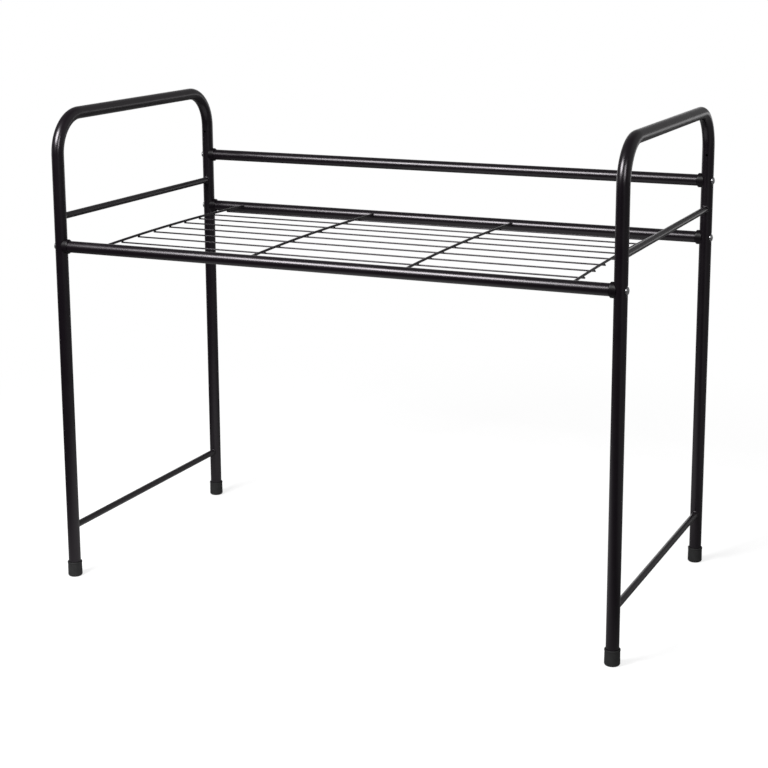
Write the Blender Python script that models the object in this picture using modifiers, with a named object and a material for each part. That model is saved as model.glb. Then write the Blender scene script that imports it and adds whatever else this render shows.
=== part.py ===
"""A free-standing metal shelf organizer.

Two side frames of bent tube are joined by three rails, and a deck of welded wires spans the two
shelf rails. Units are metres and +Z is up. The rails run along X, the front faces -Y, and the
origin lies on the floor at the middle of the four feet.
"""
import math

import bmesh
import bpy
from mathutils import Matrix, Vector

# The rack's layout, measured between the axes of its tubes
FRAME_SPACING = 0.744
FRAME_DEPTH = 0.382
LOWER_ROD_HEIGHT = 0.068
SHELF_HEIGHT = 0.446
# From the shelf rails up to the side frames' upper rods, and to the guard rail
UPPER_ROD_RISE = 0.038
GUARD_RISE = 0.075
# From the guard rail up to the top of the side frames
ARCH_RISE = 0.092

# Space between two pieces that touch on the real rack
CLEARANCE = 0.0003
# How far a cutter runs on past what it cuts
OVERRUN = 0.003
# Corners of one piece that are nearer than this are the same corner
WELD_DISTANCE = 0.000001

# Bent tube of the side frames
POST_DIAMETER = 0.016
POST_WALL = 0.0012
BEND_RADIUS = 0.050
BEND_STEPS = 8
TUBE_SIDES = 24
BORE_SIDES = 16

# Drain hole on the inner side of each rear leg, just under the bend
DRAIN_DIAMETER = 0.0032
DRAIN_DROP = 0.008

# Rods welded between the legs of a side frame
ROD_DIAMETER = 0.0085
ROD_SIDES = 16

# Rails between the side frames
RAIL_DIAMETER = 0.015
RAIL_WALL = 0.0012

# Plastic cap in each rail end: a collar with a hollow saddle for the leg, and a plug in the rail
COLLAR_REACH = 0.0044
COLLAR_SIDE_FLARE = 0.0003
COLLAR_TOP_FLARE = 0.0019
COLLAR_FACE_RIM = 0.0004
PLUG_LENGTH = 0.0135
PLUG_CHAMFER = 0.0006
LIP_START_SHARE = 0.5
# Each collar ring: how far it lies from the lips to the rail, and how much of the full flare it has
COLLAR_RING_SHARES = (
    (0.00, 1.05),
    (0.52, 0.95),
    (0.68, 1.00),
    (0.86, 0.94),
    (0.95, 0.58),
    (1.00, 0.08),
)

# Machine screw through the leg and cap, and the nut held in the plug
SCREW_DIAMETER = 0.0048
SCREW_TIP_REACH = 0.002
SCREW_TIP_CHAMFER = 0.0005
HEAD_DIAMETER = 0.0098
HEAD_HEIGHT = 0.0033
HEAD_EDGE_SHARE = 0.30
HEAD_DOME_STEPS = 4
RECESS_DEPTH_SHARE = 0.55
RECESS_SPAN_SHARE = 0.52
RECESS_BLADE_SHARE = 0.15
SCREW_SIDES = 16
NUT_THICKNESS = 0.004
NUT_SIDES = 6
NUT_REACH_SHARE = 0.58

# Dimple pressed into the leg, so that the screw head sits on a flat
SEAT_DEPTH = 0.002
SEAT_MARGIN = 0.0005
SEAT_DRAFT_SHARE = 0.45

# Rubber foot on each leg
FOOT_HEIGHT = 0.020
FOOT_WALL = 0.0010
FOOT_FLOOR = 0.004
FOOT_ROUND = 0.0026
FOOT_ROUND_STEPS = 2
FOOT_SIDES = 20
FOOT_LIP = 0.0003
FOOT_LIP_HEIGHT = 0.0020
FOOT_SWELL = 0.0002
FOOT_GROOVE_DEPTH = 0.0008
FOOT_GROOVE_SHARES = (0.68, 0.915)

# Wire deck: cross wires arch a little from front to back, long wires are welded under them
CROSS_WIRE_DIAMETER = 0.0032
CROSS_WIRE_COUNT = 4
CROSS_WIRE_INSET = 0.060
CROSS_WIRE_RISE_SHARE = 0.32
CROSS_WIRE_STEPS = 4
CROSS_WIRE_SIDES = 10
DECK_CROWN = 0.0031
LONG_WIRE_DIAMETER = 0.002
LONG_WIRE_COUNT = 8
LONG_WIRE_INSET = 0.051
LONG_WIRE_SIDES = 8
WIRE_STUB = 0.0004

SHARP_ANGLE = math.radians(35)

# Sizes that follow from those above
UPPER_ROD_HEIGHT = SHELF_HEIGHT + UPPER_ROD_RISE
GUARD_HEIGHT = SHELF_HEIGHT + GUARD_RISE
ARCH_HEIGHT = GUARD_HEIGHT + ARCH_RISE
POST_RADIUS = POST_DIAMETER / 2
RAIL_RADIUS = RAIL_DIAMETER / 2
LEG_BOTTOM = FOOT_FLOOR + CLEARANCE
COLLAR_FACE = POST_RADIUS + COLLAR_REACH
PLUG_END = COLLAR_FACE + PLUG_LENGTH
PLUG_RADIUS = RAIL_RADIUS - RAIL_WALL - CLEARANCE
BORE_RADIUS = SCREW_DIAMETER / 2 + CLEARANCE
NUT_RADIUS = BORE_RADIUS + NUT_REACH_SHARE * (PLUG_RADIUS - BORE_RADIUS)
SEAT_PLANE = POST_RADIUS - SEAT_DEPTH
SEAT_RADIUS = HEAD_DIAMETER / 2 + SEAT_MARGIN
NUT_FLAT_SHARE = math.cos(math.pi / NUT_SIDES)

SIDES = {"left": -1, "right": 1}
ENDS = {"front": -1, "rear": 1}


def axis_turn(axis):
    """The rotation that lays +Z along the given axis."""
    return Vector((0, 0, 1)).rotation_difference(Vector(axis)).to_matrix().to_4x4()


# From a rail end's place, with +X into the rail, to a screw's, with +Z out of the leg
OUT_OF_LEG = axis_turn((-1, 0, 0))


def new_collection(name):
    collection = bpy.data.collections.new(name)
    bpy.context.scene.collection.children.link(collection)
    return collection


def new_material(name, colour, roughness, metallic):
    material = bpy.data.materials.new(name)
    material.use_nodes = True
    shader = material.node_tree.nodes["Principled BSDF"]
    shader.inputs["Base Color"].default_value = (*colour, 1)
    shader.inputs["Roughness"].default_value = roughness
    shader.inputs["Metallic"].default_value = metallic
    material.diffuse_color = (*colour, 1)
    return material


def smooth(mesh):
    mesh.shade_smooth()
    mesh.set_sharp_from_angle(angle=SHARP_ANGLE)


def add_piece(name, mesh, collection, material, place=None):
    """A named part of the rack. Copies of one piece share a mesh."""
    if not mesh.materials:
        mesh.materials.append(material)
    piece = bpy.data.objects.new(name, mesh)
    piece.matrix_world = place or Matrix()
    collection.objects.link(piece)
    return piece


def add_cutter(name, mesh, collection):
    cutter = bpy.data.objects.new(name, mesh)
    cutter.hide_render = True
    cutter.display_type = "WIRE"
    collection.objects.link(cutter)
    return cutter


def finished_mesh(name, guide):
    """The guide's final shape as a closed mesh shaded smooth. The guide is then removed."""
    bpy.context.view_layer.update()
    graph = bpy.context.evaluated_depsgraph_get()
    mesh = bpy.data.meshes.new_from_object(guide.evaluated_get(graph))
    bpy.data.objects.remove(guide)
    welded = bmesh.new()
    welded.from_mesh(mesh)
    bmesh.ops.remove_doubles(welded, verts=welded.verts, dist=WELD_DISTANCE)
    bmesh.ops.recalc_face_normals(welded, faces=welded.faces)
    welded.to_mesh(mesh)
    welded.free()
    mesh.name = name
    smooth(mesh)
    return mesh


def carved(name, mesh, cutter_pieces):
    """The mesh with the shapes of the cutters taken out, welded after each so that it stays closed."""
    guide = bpy.data.objects.new(name, mesh)
    bpy.context.scene.collection.objects.link(guide)
    for cutter in cutter_pieces:
        taken = guide.modifiers.new(cutter.name, "BOOLEAN")
        taken.operation = "DIFFERENCE"
        taken.solver = "EXACT"
        taken.object = cutter
        weld = guide.modifiers.new(f"{cutter.name}_weld", "WELD")
        weld.merge_threshold = WELD_DISTANCE
    return finished_mesh(name, guide)


def bar(name, points, radius, sides):
    """A round bar along a path of points, as a closed mesh."""
    curve = bpy.data.curves.new(name, "CURVE")
    curve.dimensions = "3D"
    curve.twist_mode = "MINIMUM"
    curve.bevel_depth = radius
    curve.bevel_resolution = sides // 2 - 2
    curve.use_fill_caps = True
    spline = curve.splines.new("POLY")
    spline.points.add(len(points) - 1)
    for knot, point in zip(spline.points, points):
        knot.co = (*point, 1)
    guide = bpy.data.objects.new(name, curve)
    bpy.context.scene.collection.objects.link(guide)
    return finished_mesh(name, guide)


def cylinder(name, radius, start, end, axis, sides, capped=True):
    """A cylinder about the given axis through the origin, from start to end along it."""
    shape = bmesh.new()
    bmesh.ops.create_cone(
        shape, cap_ends=capped, segments=sides, radius1=radius, radius2=radius, depth=end - start
    )
    shape.transform(axis_turn(axis) @ Matrix.Translation((0, 0, (start + end) / 2)))
    mesh = bpy.data.meshes.new(name)
    shape.to_mesh(mesh)
    shape.free()
    smooth(mesh)
    return mesh


def turned(name, outline, sides):
    """A solid turned about Z from its outer outline of (radius, height), top to bottom."""
    mesh = bpy.data.meshes.new(name)
    edges = [(step, step + 1) for step in range(len(outline) - 1)]
    mesh.from_pydata([(radius, 0, height) for radius, height in outline], edges, [])
    guide = bpy.data.objects.new(name, mesh)
    bpy.context.scene.collection.objects.link(guide)
    lathe = guide.modifiers.new("lathe", "SCREW")
    lathe.axis = "Z"
    lathe.steps = sides
    lathe.render_steps = sides
    lathe.use_merge_vertices = True
    lathe.merge_threshold = WELD_DISTANCE
    return finished_mesh(name, guide)


def lofted(name, rings, sides):
    """A closed solid along +X through oval rings of (distance, half width, half height)."""
    shape = bmesh.new()
    loops = []
    for distance, half_width, half_height in rings:
        angles = [math.tau * (step + 0.5) / sides for step in range(sides)]
        loops.append([
            shape.verts.new((distance, half_width * math.cos(a), half_height * math.sin(a)))
            for a in angles
        ])
    for near, far in zip(loops, loops[1:]):
        for step in range(sides):
            after = (step + 1) % sides
            shape.faces.new((near[step], near[after], far[after], far[step]))
    shape.faces.new(loops[0])
    shape.faces.new(loops[-1])
    bmesh.ops.recalc_face_normals(shape, faces=shape.faces)
    mesh = bpy.data.meshes.new(name)
    shape.to_mesh(mesh)
    shape.free()
    smooth(mesh)
    return mesh


def off_corner(mesh, sides):
    """Turn a cutter about Z by half a facet, so that its corners miss those of what it cuts."""
    mesh.transform(Matrix.Rotation(math.pi / sides, 4, "Z"))
    return mesh


def joined(name, mesh, places):
    """Copies of one mesh, each in its place, as separate solids of one mesh."""
    group = bmesh.new()
    for place in places:
        copy = mesh.copy()
        copy.transform(place)
        group.from_mesh(copy)
        bpy.data.meshes.remove(copy)
    together = bpy.data.meshes.new(name)
    group.to_mesh(together)
    group.free()
    smooth(together)
    return together


def rail_levels():
    """Each rail by name, with its Y and its height."""
    front = -FRAME_DEPTH / 2
    rear = FRAME_DEPTH / 2
    return {
        "front_shelf_rail": (front, SHELF_HEIGHT),
        "rear_shelf_rail": (rear, SHELF_HEIGHT),
        "rear_guard_rail": (rear, GUARD_HEIGHT),
    }


def rail_ends(chosen=tuple(SIDES)):
    """The place of each rail end by name: on its leg's axis, with +X into the rail."""
    ends = {}
    for rail, (y, z) in rail_levels().items():
        for side_name in chosen:
            side = SIDES[side_name]
            facing = Matrix.Rotation(math.pi if side > 0 else 0, 4, "Z")
            place = Matrix.Translation((side * FRAME_SPACING / 2, y, z)) @ facing
            ends[f"{rail}_{side_name}"] = place
    return ends


def fill_rail_ends(kind, mesh, parts, material, turn=Matrix()):
    """One piece of a kind at each of the six rail ends, turned from the end's place."""
    for end_name, place in rail_ends().items():
        add_piece(f"{end_name}_{kind}", mesh, parts, material, place @ turn)


def side_path(x, bottom):
    """The axis of a side frame's tube: up the front leg, over two bends and down the rear leg."""
    half = FRAME_DEPTH / 2
    bend_y = half - BEND_RADIUS
    bend_z = ARCH_HEIGHT - BEND_RADIUS
    points = [(x, -half, bottom)]
    for centre_y, first_angle in ((-bend_y, math.pi), (bend_y, math.pi / 2)):
        for step in range(BEND_STEPS + 1):
            angle = first_angle - step * math.pi / 2 / BEND_STEPS
            y = centre_y + BEND_RADIUS * math.cos(angle)
            z = bend_z + BEND_RADIUS * math.sin(angle)
            points.append((x, y, z))
    points.append((x, half, bottom))
    return points


def seat_profile(offset):
    """The pressed dimple's cutter about the screw axis, grown by an offset on all its faces."""
    seat = SEAT_RADIUS + offset
    top = POST_RADIUS + OVERRUN
    draft = SEAT_DRAFT_SHARE * (top - SEAT_PLANE)
    return [(0, top), (seat + draft, top), (seat, SEAT_PLANE - offset), (0, SEAT_PLANE - offset)]


def drain_place(side):
    """Where the drain hole's axis starts on the rear leg, with +Z towards the front."""
    height = ARCH_HEIGHT - BEND_RADIUS - DRAIN_DROP
    place = Matrix.Translation((side * FRAME_SPACING / 2, FRAME_DEPTH / 2, height))
    return place @ axis_turn((0, -1, 0))


def build_side_tube(side_name, parts, cutters, material):
    """One side frame's bent tube, with its pressed screw seats, screw holes and drain hole."""
    name = f"{side_name}_side_tube"
    side = SIDES[side_name]
    x = side * FRAME_SPACING / 2
    places = [place @ OUT_OF_LEG for place in rail_ends([side_name]).values()]

    dimple = off_corner(turned(f"{name}_dimple", seat_profile(0), TUBE_SIDES), TUBE_SIDES)
    dimples = add_cutter(f"{name}_dimples", joined(f"{name}_dimples", dimple, places), cutters)

    backing = off_corner(turned(f"{name}_backing", seat_profile(POST_WALL), BORE_SIDES), BORE_SIDES)
    backings = add_cutter(f"{name}_backings", joined(f"{name}_backings", backing, places), cutters)
    inner_path = side_path(x, LEG_BOTTOM - OVERRUN)
    inside = bar(f"{name}_bore", inner_path, POST_RADIUS - POST_WALL, BORE_SIDES)
    bore = add_cutter(f"{name}_bore", carved(f"{name}_bore", inside, [backings]), cutters)

    through = POST_RADIUS + OVERRUN
    shank = cylinder(f"{name}_shank", BORE_RADIUS, -through, through, (0, 0, 1), SCREW_SIDES)
    off_corner(shank, SCREW_SIDES)
    shanks = add_cutter(f"{name}_screw_holes", joined(f"{name}_screw_holes", shank, places), cutters)

    hole = cylinder(f"{name}_drain", DRAIN_DIAMETER / 2, 0, through, (0, 0, 1), SCREW_SIDES)
    off_corner(hole, SCREW_SIDES)
    hole.transform(drain_place(side))
    drain = add_cutter(f"{name}_drain", hole, cutters)

    outside = bar(name, side_path(x, LEG_BOTTOM), POST_RADIUS, TUBE_SIDES)
    add_piece(name, carved(name, outside, [dimples, bore, shanks, drain]), parts, material)


def build_side_rods(parts, cutters, material):
    """Four equal rods, hollowed at both ends to seat on the legs."""
    half = FRAME_DEPTH / 2
    reach = ROD_DIAMETER / 2 + OVERRUN
    copes = []
    for end_name, end in ENDS.items():
        name = f"rod_{end_name}_cope"
        seat = cylinder(name, POST_RADIUS + CLEARANCE, -reach, reach, (0, 0, 1), TUBE_SIDES)
        seat.transform(Matrix.Translation((0, end * half, 0)))
        copes.append(add_cutter(name, seat, cutters))
    blank = cylinder("side_rod", ROD_DIAMETER / 2, -half, half, (0, 1, 0), ROD_SIDES)
    rod = carved("side_rod", blank, copes)
    heights = {"upper": UPPER_ROD_HEIGHT, "lower": LOWER_ROD_HEIGHT}
    for side_name, side in SIDES.items():
        for level, height in heights.items():
            place = Matrix.Translation((side * FRAME_SPACING / 2, 0, height))
            add_piece(f"{side_name}_{level}_side_rod", rod, parts, material, place)


def build_rails(parts, material):
    """Three equal rails: an open tube wall, thickened inwards."""
    half = FRAME_SPACING / 2 - COLLAR_FACE - CLEARANCE
    skin = cylinder("rail", RAIL_RADIUS, -half, half, (1, 0, 0), TUBE_SIDES, capped=False)
    for name, (y, z) in rail_levels().items():
        rail = add_piece(name, skin, parts, material, Matrix.Translation((0, y, z)))
        wall = rail.modifiers.new("wall", "SOLIDIFY")
        wall.thickness = RAIL_WALL
        wall.offset = -1
        wall.use_even_offset = True


def collar_rings():
    """The cap's rings from the tips of its lips to the chamfered end of its plug."""
    lips = LIP_START_SHARE * POST_RADIUS
    rim = RAIL_RADIUS + COLLAR_FACE_RIM
    rings = []
    for along_share, flare_share in COLLAR_RING_SHARES:
        distance = lips + along_share * (COLLAR_FACE - lips)
        half_width = rim + flare_share * (RAIL_RADIUS + COLLAR_SIDE_FLARE - rim)
        half_height = rim + flare_share * (RAIL_RADIUS + COLLAR_TOP_FLARE - rim)
        rings.append((distance, half_width, half_height))
    tip = PLUG_RADIUS - PLUG_CHAMFER
    rings.append((COLLAR_FACE, PLUG_RADIUS, PLUG_RADIUS))
    rings.append((PLUG_END - PLUG_CHAMFER, PLUG_RADIUS, PLUG_RADIUS))
    rings.append((PLUG_END, tip, tip))
    return rings


def build_end_caps(parts, cutters, material):
    """Six equal caps, each with its saddle round the leg, a screw bore and a nut pocket."""
    reach = RAIL_RADIUS + COLLAR_TOP_FLARE + OVERRUN
    leg = cylinder("cap_saddle", POST_RADIUS + CLEARANCE, -reach, reach, (0, 0, 1), TUBE_SIDES)
    saddle = add_cutter("cap_saddle", leg, cutters)

    far_end = PLUG_END + OVERRUN
    shank = cylinder("cap_bore", BORE_RADIUS, 0, far_end, (1, 0, 0), SCREW_SIDES)
    bore = add_cutter("cap_bore", shank, cutters)

    nut_seat = PLUG_END - NUT_THICKNESS - CLEARANCE
    pocket_radius = NUT_RADIUS + CLEARANCE / NUT_FLAT_SHARE
    nut = cylinder("nut_pocket", pocket_radius, nut_seat, far_end, (1, 0, 0), NUT_SIDES)
    pocket = add_cutter("nut_pocket", nut, cutters)

    blank = lofted("end_cap", collar_rings(), TUBE_SIDES)
    cap = carved("end_cap", blank, [saddle, bore, pocket])
    fill_rail_ends("end_cap", cap, parts, material)


def screw_outline():
    """The screw's outline from the middle of its domed head to its chamfered tip."""
    head = HEAD_DIAMETER / 2
    shank = SCREW_DIAMETER / 2
    under_head = SEAT_PLANE + CLEARANCE
    edge = under_head + HEAD_EDGE_SHARE * HEAD_HEIGHT
    dome = HEAD_HEIGHT - HEAD_EDGE_SHARE * HEAD_HEIGHT
    outline = []
    for step in range(HEAD_DOME_STEPS + 1):
        angle = math.pi / 2 * step / HEAD_DOME_STEPS
        outline.append((head * math.sin(angle), edge + dome * math.cos(angle)))
    tip = -(PLUG_END + SCREW_TIP_REACH)
    outline.append((head, under_head))
    outline.append((shank, under_head))
    outline.append((shank, tip + SCREW_TIP_CHAMFER))
    outline.append((shank - SCREW_TIP_CHAMFER, tip))
    outline.append((0, tip))
    return outline


def build_screws(parts, cutters, material):
    """Six equal screws, each with a crossed recess in its domed head."""
    top = SEAT_PLANE + CLEARANCE + HEAD_HEIGHT
    depth = RECESS_DEPTH_SHARE * HEAD_HEIGHT
    span = RECESS_SPAN_SHARE * HEAD_DIAMETER
    blade = RECESS_BLADE_SHARE * HEAD_DIAMETER
    middle = Matrix.Translation((0, 0, top + (OVERRUN - depth) / 2))
    slots = []
    for name, size_x, size_y in (("recess_across", span, blade), ("recess_along", blade, span)):
        slot = bmesh.new()
        bmesh.ops.create_cube(slot, size=1)
        slot.transform(middle @ Matrix.Diagonal((size_x, size_y, depth + OVERRUN, 1)))
        mesh = bpy.data.meshes.new(name)
        slot.to_mesh(mesh)
        slot.free()
        slots.append(add_cutter(name, mesh, cutters))
    screw = carved("rail_screw", turned("rail_screw", screw_outline(), SCREW_SIDES), slots)
    fill_rail_ends("screw", screw, parts, material, OUT_OF_LEG)


def build_nuts(parts, cutters, material):
    """Six equal nuts, each in the end of a plug."""
    start = PLUG_END - NUT_THICKNESS
    hole = cylinder(
        "nut_bore", BORE_RADIUS, start - OVERRUN, PLUG_END + OVERRUN, (1, 0, 0), SCREW_SIDES
    )
    bore = add_cutter("nut_bore", hole, cutters)
    blank = cylinder("rail_nut", NUT_RADIUS, start, PLUG_END, (1, 0, 0), NUT_SIDES)
    fill_rail_ends("nut", carved("rail_nut", blank, [bore]), parts, material)


def foot_outline():
    """The foot's outline from its open mouth, down its outside and along its grooved sole."""
    socket = POST_RADIUS + CLEARANCE
    outer = socket + FOOT_WALL
    base = outer + FOOT_SWELL
    lip = outer + FOOT_LIP
    lip_bottom = FOOT_HEIGHT - FOOT_LIP_HEIGHT
    outline = [
        (0, FOOT_FLOOR),
        (socket, FOOT_FLOOR),
        (socket, FOOT_HEIGHT),
        (lip - FOOT_LIP, FOOT_HEIGHT),
        (lip, FOOT_HEIGHT - FOOT_LIP),
        (lip, lip_bottom),
        (outer, lip_bottom - FOOT_LIP),
    ]
    for step in range(FOOT_ROUND_STEPS + 1):
        angle = math.pi / 2 * step / FOOT_ROUND_STEPS
        radius = base - FOOT_ROUND * (1 - math.cos(angle))
        outline.append((radius, FOOT_ROUND * (1 - math.sin(angle))))
    groove_inner, groove_outer = (share * (base - FOOT_ROUND) for share in FOOT_GROOVE_SHARES)
    outline += [
        (groove_outer, 0),
        (groove_outer, FOOT_GROOVE_DEPTH),
        (groove_inner, FOOT_GROOVE_DEPTH),
        (groove_inner, 0),
        (0, 0),
    ]
    return outline


def build_feet(parts, material):
    shape = turned("foot_cap", foot_outline(), FOOT_SIDES)
    for side_name, side in SIDES.items():
        for end_name, end in ENDS.items():
            place = Matrix.Translation((side * FRAME_SPACING / 2, end * FRAME_DEPTH / 2, 0))
            add_piece(f"{end_name}_{side_name}_foot_cap", shape, parts, material, place)


def spread(count, inset, length):
    """Even places across a length, from an inset at one end to the same inset at the other."""
    first = inset - length / 2
    pitch = (length - 2 * inset) / (count - 1)
    return [first + number * pitch for number in range(count)]


def cross_wire_path():
    """A cross wire's axis from the front rail to the rear one: low on both, with a slight arch between."""
    half = FRAME_DEPTH / 2
    low = SHELF_HEIGHT + CROSS_WIRE_RISE_SHARE * RAIL_RADIUS
    path = []
    for step in range(CROSS_WIRE_STEPS + 1):
        share = 2 * step / CROSS_WIRE_STEPS - 1
        path.append((0, share * half, low + DECK_CROWN * (1 - share * share)))
    return path


def height_on(path, y):
    """The height of a path's straight stretch at a place between the front and the rear."""
    for (_, near_y, near_z), (_, far_y, far_z) in zip(path, path[1:]):
        if y <= far_y:
            break
    return near_z + (far_z - near_z) * (y - near_y) / (far_y - near_y)


def build_deck(parts, cutters, material):
    """Cross wires hollowed to seat on the shelf rails, and the long wires just under them."""
    half = FRAME_DEPTH / 2
    cross_radius = CROSS_WIRE_DIAMETER / 2
    long_radius = LONG_WIRE_DIAMETER / 2
    path = cross_wire_path()
    cross_places = spread(CROSS_WIRE_COUNT, CROSS_WIRE_INSET, FRAME_SPACING)

    reach = cross_radius + OVERRUN
    copes = []
    for end_name, end in ENDS.items():
        name = f"wire_{end_name}_cope"
        seat = cylinder(name, RAIL_RADIUS + CLEARANCE, -reach, reach, (1, 0, 0), TUBE_SIDES)
        seat.transform(Matrix.Translation((0, end * half, SHELF_HEIGHT)))
        copes.append(add_cutter(name, seat, cutters))
    blank = bar("cross_wire", path, cross_radius, CROSS_WIRE_SIDES)
    cross_wire = carved("cross_wire", blank, copes)
    for number, x in enumerate(cross_places, start=1):
        place = Matrix.Translation((x, 0, 0))
        add_piece(f"deck_cross_wire_{number}", cross_wire, parts, material, place)

    drop = cross_radius + CLEARANCE + long_radius
    reach = cross_places[-1] + cross_radius + WIRE_STUB
    long_wire = cylinder("long_wire", long_radius, -reach, reach, (1, 0, 0), LONG_WIRE_SIDES)
    for number, y in enumerate(spread(LONG_WIRE_COUNT, LONG_WIRE_INSET, FRAME_DEPTH), start=1):
        place = Matrix.Translation((0, y, height_on(path, y) - drop))
        add_piece(f"deck_long_wire_{number}", long_wire, parts, material, place)


def main():
    for leftover in list(bpy.data.objects):
        bpy.data.objects.remove(leftover)
    parts = new_collection("metal_shelf_organizer")
    cutters = new_collection("cutters")

    tube_coat = new_material("black_tube_coat", (0.016, 0.015, 0.017), 0.28, 0.0)
    wire_coat = new_material("black_wire_coat", (0.020, 0.019, 0.021), 0.32, 0.0)
    cap_plastic = new_material("black_cap_plastic", (0.014, 0.014, 0.015), 0.38, 0.0)
    foot_rubber = new_material("black_foot_rubber", (0.018, 0.018, 0.019), 0.62, 0.0)
    bright_steel = new_material("bright_screw_steel", (0.62, 0.62, 0.64), 0.22, 1.0)

    for side_name in SIDES:
        build_side_tube(side_name, parts, cutters, tube_coat)
    build_side_rods(parts, cutters, tube_coat)
    build_rails(parts, tube_coat)
    build_end_caps(parts, cutters, cap_plastic)
    build_screws(parts, cutters, bright_steel)
    build_nuts(parts, cutters, bright_steel)
    build_feet(parts, foot_rubber)
    build_deck(parts, cutters, wire_coat)


main()
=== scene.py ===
"""The looks of a free-standing black metal shelf organizer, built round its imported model.

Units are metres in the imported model's frame: +Z is up, the rails run along X, the front faces
-Y and the origin lies on the floor at the middle of the four feet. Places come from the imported
nodes, so each finer piece made here stays where the plain one was.
"""
import math

import bmesh
import bpy
from mathutils import Matrix, Vector, noise


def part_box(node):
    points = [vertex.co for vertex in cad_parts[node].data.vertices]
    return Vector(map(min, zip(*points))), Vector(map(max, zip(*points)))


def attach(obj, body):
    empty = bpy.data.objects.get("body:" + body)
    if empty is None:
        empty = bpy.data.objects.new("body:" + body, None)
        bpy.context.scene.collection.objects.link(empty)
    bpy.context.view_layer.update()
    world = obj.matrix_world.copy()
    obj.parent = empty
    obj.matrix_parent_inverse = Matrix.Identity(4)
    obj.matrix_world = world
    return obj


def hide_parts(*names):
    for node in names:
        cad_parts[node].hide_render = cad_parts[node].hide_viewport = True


# The photograph's camera, turned to the left about +Z and tilted down
CAMERA_PLACE = (0.9263, -2.0703, 0.8386)
CAMERA_TURN = math.radians(24.196)
CAMERA_TILT = math.radians(11.935)
CAMERA_ROLL = math.radians(-0.258)
CAMERA_LENS_MM = 83.13
CAMERA_SENSOR_MM = 36
CAMERA_SHIFT_UP = -0.1
CAMERA_FAR = 100

# Bent tube of the side frames
POST_RADIUS = 0.008
POST_WALL = 0.0012
BEND_RADIUS = 0.050
BEND_STEPS = 28
TUBE_SIDES = 64
FIT_GAP = 0.0003
OVERRUN = 0.003

# Dimple pressed into the leg under each screw head
SEAT_PLANE = 0.006
SEAT_RADIUS = 0.0054
SEAT_DRAFT_SHARE = 0.45
SEAT_SOFTNESS = 0.0007
SEAT_REACH = 0.0090
SEAT_STEPS = 28

# Drain hole on the inner side of each rear leg
DRAIN_RADIUS = 0.0016
DRAIN_DROP = 0.008
DRAIN_REACH = 0.003
DRAIN_STEPS = 8

# Round rods and rails
ROD_RADIUS = 0.00425
RAIL_RADIUS = 0.0075
RAIL_WALL = 0.0012
RAIL_EDGE = 0.0002
ROD_SIDES = 40
RAIL_SIDES = 64

# Plastic cap in each rail end, by its distance from the leg's axis
LIP_START = 0.004
COLLAR_FACE = 0.0124
COLLAR_RINGS = 30
COLLAR_SIDES = 72
COLLAR_EDGE = 0.00022
PLUG_END = 0.0259
PLUG_RADIUS = 0.006
PLUG_CHAMFER = 0.0006
COLLAR_FACE_RIM = 0.0079
COLLAR_HALF_WIDTH = 0.0078
COLLAR_HALF_HEIGHT = 0.0094
# The collar's swell from the lips to the rail: how far along, and how much of its full flare
COLLAR_SWELL_SHARES = (
    (0.00, 1.04),
    (0.52, 0.95),
    (0.68, 1.00),
    (0.86, 0.94),
    (0.95, 0.58),
    (1.00, 0.08),
)

# Machine screw, with its axis on the rail's and its head in the dimple
HEAD_RADIUS = 0.0049
HEAD_HEIGHT = 0.0033
HEAD_EDGE_SHARE = 0.30
HEAD_DOME_STEPS = 14
HEAD_BREAK = 0.00012
SHANK_RADIUS = 0.0024
SCREW_SIDES = 48
SCREW_TIP_REACH = 0.002
SCREW_TIP_CHAMFER = 0.0005
RECESS_DEPTH = 0.0018
RECESS_SPAN = 0.0051
RECESS_BLADE = 0.00147
RECESS_TAPER_SHARE = 0.62
RECESS_TOP_SHARE = 1 + OVERRUN / RECESS_DEPTH / 3
NUT_SIDES = 6
NUT_THICKNESS = 0.004
NUT_POCKET_RADIUS = 0.00482

# Rubber foot
FOOT_SOCKET = POST_RADIUS + FIT_GAP
FOOT_OUTER = 0.0093
FOOT_SWELL = 0.0002
FOOT_LIP = 0.0003
FOOT_LIP_HEIGHT = 0.0020
FOOT_LIP_STEPS = 6
FOOT_HALF_LIP_STEPS = 4
FOOT_LIP_LAST_ANGLE = -70
FOOT_HEIGHT = 0.020
FOOT_FLOOR = 0.004
FOOT_ROUND = 0.0026
FOOT_ROUND_STEPS = 8
FOOT_SIDES = 64
FOOT_GROOVE_DEPTH = 0.0008
FOOT_GROOVE_SHARES = (0.68, 0.915)

# Wire deck: cross wires arch a little from one shelf rail to the other
CROSS_WIRE_RADIUS = 0.0016
CROSS_WIRE_RISE = 0.0024
DECK_CROWN = 0.0031
CROSS_WIRE_RINGS = 24
LONG_WIRE_RADIUS = 0.001
WIRE_SIDES = 24
WIRE_END_ROUND = 0.00025

# Welds
ROD_BEAD = 0.0012
WIRE_BEAD = 0.0008
BEAD_STEPS = 64
SEATING_TRIES = 4
BEAD_SIDES = 12
BEAD_RIPPLES = 15
BEAD_RIPPLE_SHARE = 0.08
NUB_REACH = 0.00125
NUB_HALF_HEIGHT = 0.00058
NUB_SIDES = 20
NUB_RINGS = 10
NUB_ROUGHNESS = 0.00012
NUB_LUMP_SCALE = 900

SHARP_ANGLE = math.radians(35)
EDGE_SEGMENTS = 3
WELD_DISTANCE = 0.000001

SIDES = {"left": -1, "right": 1}
ENDS = {"front": -1, "rear": 1}
RAILS = ("front_shelf_rail", "rear_shelf_rail", "rear_guard_rail")
RAIL_ENDS = [(rail, side_name) for rail in RAILS for side_name in SIDES]
LEVELS = ("upper", "lower")
CROSS_WIRES = 4
LONG_WIRES = 8

X = Vector((1, 0, 0))
Y = Vector((0, 1, 0))
Z = Vector((0, 0, 1))

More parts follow.
